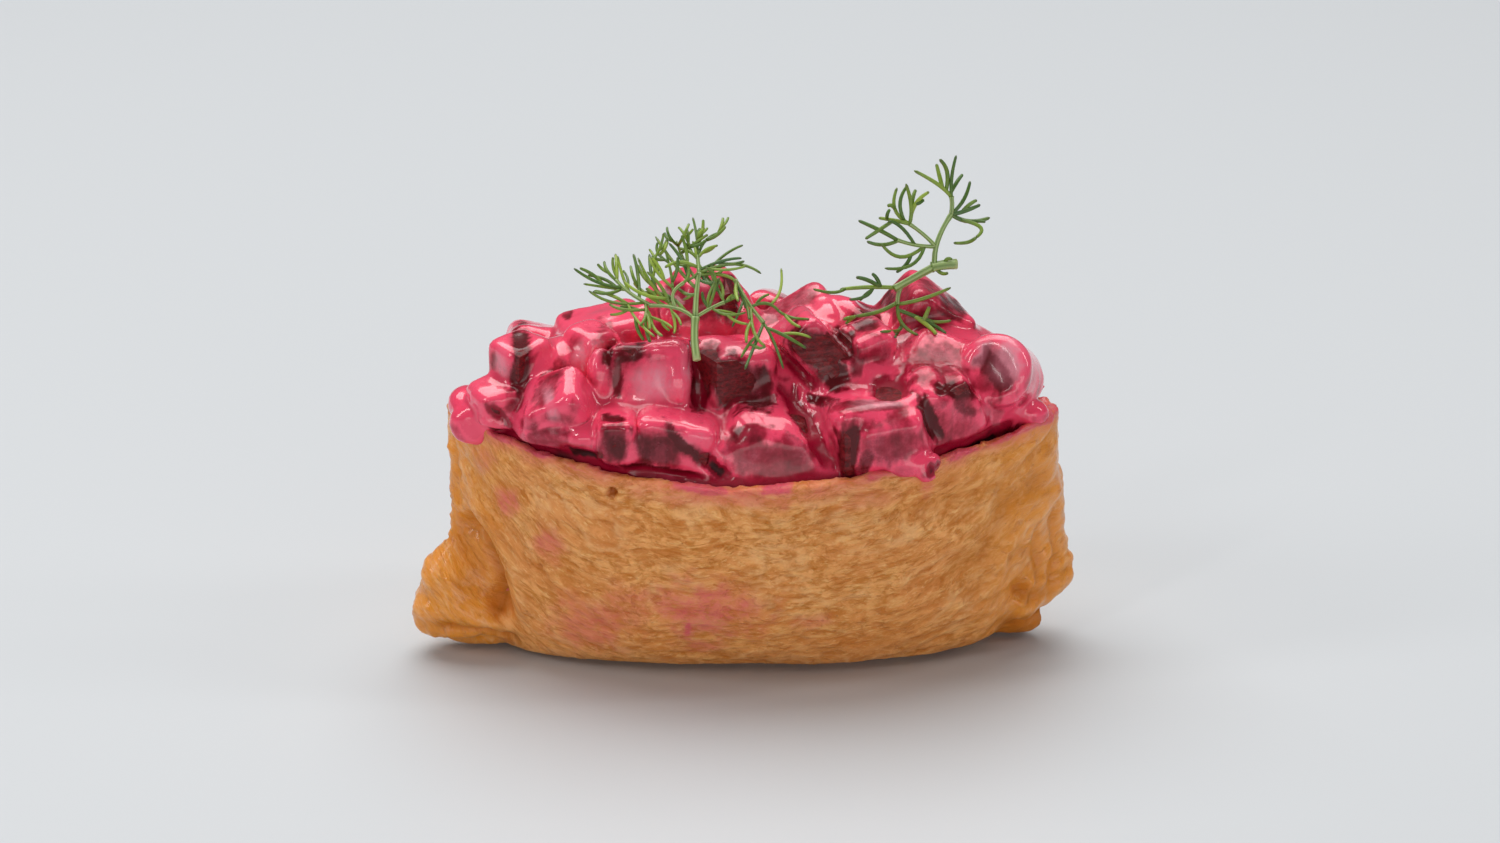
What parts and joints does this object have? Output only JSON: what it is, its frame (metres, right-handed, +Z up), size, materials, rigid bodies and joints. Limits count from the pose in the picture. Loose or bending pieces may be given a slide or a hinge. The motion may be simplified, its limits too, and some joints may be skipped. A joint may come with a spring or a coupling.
{
  "type": "inari sushi",
  "caption": "Boat of fried tofu skin, open along its top, heaped with diced beetroot in thick pink dressing and topped with dill sprigs.",
  "frame": {"origin": "the middle of the box round the whole piece, at the level it stands on", "axes": "+X along the boat, -Y towards its front, +Z up"},
  "size_m": [0.0804, 0.039, 0.0614],
  "materials": {
    "tofu_skin": "fried tofu skin: golden tan, fibrous and wrinkled, slightly oily",
    "dressing": "thick creamy dressing stained crimson pink, wet and glossy",
    "beetroot": "cut cooked beetroot: very dark maroon, finely grained, wet",
    "dill": "fresh green herb, satin"
  },
  "bodies": {
    "root": {"tofu_boat": "tofu_skin", "beetroot_heap": "dressing", "dill_left": "dill", "dill_middle": "dill", "dill_right": "dill"}
  },
  "joints": []
}
